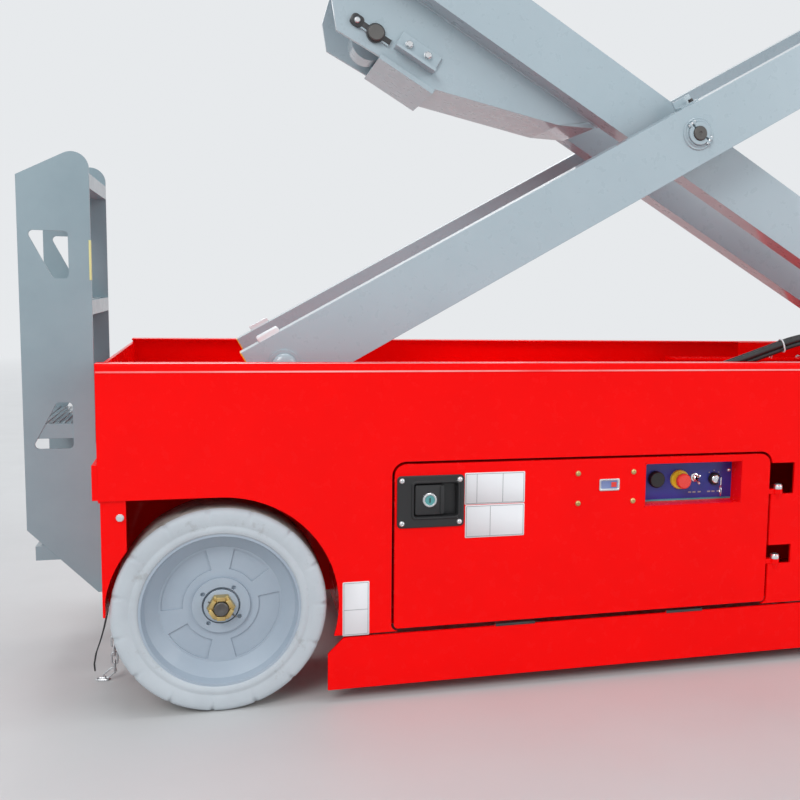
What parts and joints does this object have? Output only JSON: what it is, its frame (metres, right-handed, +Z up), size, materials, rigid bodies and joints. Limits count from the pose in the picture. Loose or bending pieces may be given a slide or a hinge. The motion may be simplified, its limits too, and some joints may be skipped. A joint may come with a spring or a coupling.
{
  "type": "slab electric scissor lift",
  "caption": "Narrow slab scissor lift with a raised arm stack, sliding deck extension, rear ladder, doors and solid tyres.",
  "frame": {"origin": "on the floor, midway between the ladder's back and the chassis front, on the centre line", "axes": "+X towards the steered front end, +Y to the machine's left, +Z up"},
  "size_m": [2.52, 0.824, 4.8621],
  "materials": {
    "red_paint": "gloss",
    "grey_paint": "gloss",
    "tyre": "matt, non-marking",
    "wheel_paint": "satin",
    "dark_steel": "bare",
    "chrome": "polished",
    "black_plastic": "matt",
    "black_paint": "satin",
    "battery_case": "matt",
    "control_blue": "satin",
    "roller_nylon": "matt"
  },
  "bodies": {
    "chassis": {"chassis_frame": "red_paint", "end_walls": "red_paint", "axle_beams": "black_paint", "arm_mounts": "red_paint", "left_panel": "red_paint", "right_panel": "red_paint", "battery_pack": "battery_case", "hydraulic_unit": "black_paint", "rear_ladder": "grey_paint"},
    "right_door": {"right_door": "red_paint", "right_latch": "black_plastic", "ground_controls": "control_blue"},
    "left_door": {"left_door": "red_paint", "left_latch": "black_plastic"},
    "right_guard": {"right_guard": "red_paint"},
    "left_guard": {"left_guard": "red_paint"},
    "right_knuckle": {"right_knuckle": "dark_steel"},
    "left_knuckle": {"left_knuckle": "dark_steel"},
    "tie_rod": {"tie_rod": "dark_steel"},
    "outer_1": {"outer_arms_1": "grey_paint", "pins_1": "dark_steel"},
    "inner_1": {"inner_arms_1": "grey_paint", "lower_rollers": "roller_nylon"},
    "outer_2": {"outer_arms_2": "grey_paint", "pins_2": "dark_steel"},
    "inner_2": {"inner_arms_2": "grey_paint"},
    "outer_3": {"outer_arms_3": "grey_paint", "pins_3": "dark_steel", "upper_rollers": "roller_nylon"},
    "inner_3": {"inner_arms_3": "grey_paint"},
    "barrel": {"cylinder_barrel": "grey_paint"},
    "piston": {"cylinder_rod": "chrome"},
    "platform": {"platform_deck": "grey_paint", "platform_rails": "grey_paint"},
    "extension": {"extension_deck": "grey_paint", "control_box": "black_plastic"},
    "entry_gate": {"entry_gate": "grey_paint"},
    "rear_right_wheel": {"rear_right_tyre": "tyre", "rear_right_wheel": "wheel_paint"},
    "rear_left_wheel": {"rear_left_tyre": "tyre", "rear_left_wheel": "wheel_paint"},
    "front_right_wheel": {"front_right_tyre": "tyre", "front_right_wheel": "wheel_paint"},
    "front_left_wheel": {"front_left_tyre": "tyre", "front_left_wheel": "wheel_paint"}
  },
  "joints": [
    {"name": "lift", "type": "hinge", "parent": "chassis", "child": "outer_1", "pos_m": [-0.778, 0, 0.628], "axis": [0, -1, 0], "range_deg": [-25.5, 22.3]},
    {"name": "cross_1", "type": "hinge", "parent": "outer_1", "child": "inner_1", "pos_m": [0.0776, 0, 1.11603], "axis": [0, -1, 0], "range_deg": [-44.62, 51.02]},
    {"name": "fold_2", "type": "hinge", "parent": "outer_1", "child": "inner_2", "pos_m": [0.9332, 0, 1.60405], "axis": [0, -1, 0], "range_deg": [-44.62, 51.02]},
    {"name": "cross_2", "type": "hinge", "parent": "inner_2", "child": "outer_2", "pos_m": [0.0776, 0, 2.09208], "axis": [0, -1, 0], "range_deg": [-51.02, 44.62]},
    {"name": "fold_3", "type": "hinge", "parent": "outer_2", "child": "inner_3", "pos_m": [0.9332, 0, 2.58011], "axis": [0, -1, 0], "range_deg": [-44.62, 51.02]},
    {"name": "cross_3", "type": "hinge", "parent": "inner_3", "child": "outer_3", "pos_m": [0.0776, 0, 3.06813], "axis": [0, -1, 0], "range_deg": [-51.02, 44.62]},
    {"name": "platform_pivot", "type": "hinge", "parent": "inner_3", "child": "platform", "pos_m": [-0.778, 0, 3.55616], "axis": [0, -1, 0], "range_deg": [-25.52, 22.32]},
    {"name": "cylinder_pivot", "type": "hinge", "parent": "inner_1", "child": "barrel", "pos_m": [-0.58241, 0, 1.29908], "axis": [0, -1, 0], "range_deg": [-46.28, 40.47]},
    {"name": "cylinder_stroke", "type": "slide", "parent": "barrel", "child": "piston", "axis": [0.7686, 0, 0.6397], "range_m": [-0.15047, 0.13172]},
    {"name": "right_steer", "type": "hinge", "parent": "chassis", "child": "right_knuckle", "pos_m": [0.97, -0.225, 0.1905], "axis": [0, 0, 1], "range_deg": [-35.01, 35.01]},
    {"name": "left_steer", "type": "hinge", "parent": "chassis", "child": "left_knuckle", "pos_m": [0.97, 0.225, 0.1905], "axis": [0, 0, 1], "range_deg": [-35, 35]},
    {"name": "tie_rod_pivot", "type": "hinge", "parent": "left_knuckle", "child": "tie_rod", "pos_m": [0.84, 0.225, 0.2498], "axis": [0, 0, 1], "range_deg": [-35.01, 35.01]},
    {"name": "rear_right_spin", "type": "hinge", "parent": "chassis", "child": "rear_right_wheel", "pos_m": [-0.9, -0.3365, 0.1905], "axis": [0, 1, 0], "continuous": true},
    {"name": "rear_left_spin", "type": "hinge", "parent": "chassis", "child": "rear_left_wheel", "pos_m": [-0.9, 0.3365, 0.1905], "axis": [0, 1, 0], "continuous": true},
    {"name": "front_right_spin", "type": "hinge", "parent": "right_knuckle", "child": "front_right_wheel", "pos_m": [0.97, -0.3365, 0.1905], "axis": [0, 1, 0], "continuous": true},
    {"name": "front_left_spin", "type": "hinge", "parent": "left_knuckle", "child": "front_left_wheel", "pos_m": [0.97, 0.3365, 0.1905], "axis": [0, 1, 0], "continuous": true},
    {"name": "right_door_hinge", "type": "hinge", "parent": "chassis", "child": "right_door", "pos_m": [0.227, -0.402, 0.366], "axis": [0, 0, 1], "range_deg": [0, 100]},
    {"name": "left_door_hinge", "type": "hinge", "parent": "chassis", "child": "left_door", "pos_m": [0.227, 0.402, 0.366], "axis": [0, 0, -1], "range_deg": [0, 100]},
    {"name": "right_guard_hinge", "type": "hinge", "parent": "chassis", "child": "right_guard", "pos_m": [0, -0.402, 0.1257], "axis": [1, 0, 0], "range_deg": [0, 86]},
    {"name": "left_guard_hinge", "type": "hinge", "parent": "chassis", "child": "left_guard", "pos_m": [0, 0.402, 0.1257], "axis": [-1, 0, 0], "range_deg": [0, 86]},
    {"name": "extension_slide", "type": "slide", "parent": "platform", "child": "extension", "axis": [1, 0, 0], "range_m": [0, 0.9]},
    {"name": "gate_hinge", "type": "hinge", "parent": "platform", "child": "entry_gate", "pos_m": [-1.059, -0.337, 4.34216], "axis": [0, 0, -1], "range_deg": [0, 90]}
  ],
  "couplings": [
    {"joint": "cross_1", "follows": "lift", "ratio": -2},
    {"joint": "fold_2", "follows": "lift", "ratio": -2},
    {"joint": "cross_2", "follows": "lift", "ratio": 2},
    {"joint": "fold_3", "follows": "lift", "ratio": -2},
    {"joint": "cross_3", "follows": "lift", "ratio": 2},
    {"joint": "platform_pivot", "follows": "lift", "ratio": 1},
    {"joint": "cylinder_pivot", "follows": "lift", "ratio": 1.8141},
    {"joint": "cylinder_stroke", "follows": "lift", "m_per_rad": 0.33585},
    {"joint": "right_steer", "follows": "left_steer", "ratio": 1},
    {"joint": "tie_rod_pivot", "follows": "left_steer", "ratio": -1}
  ]
}
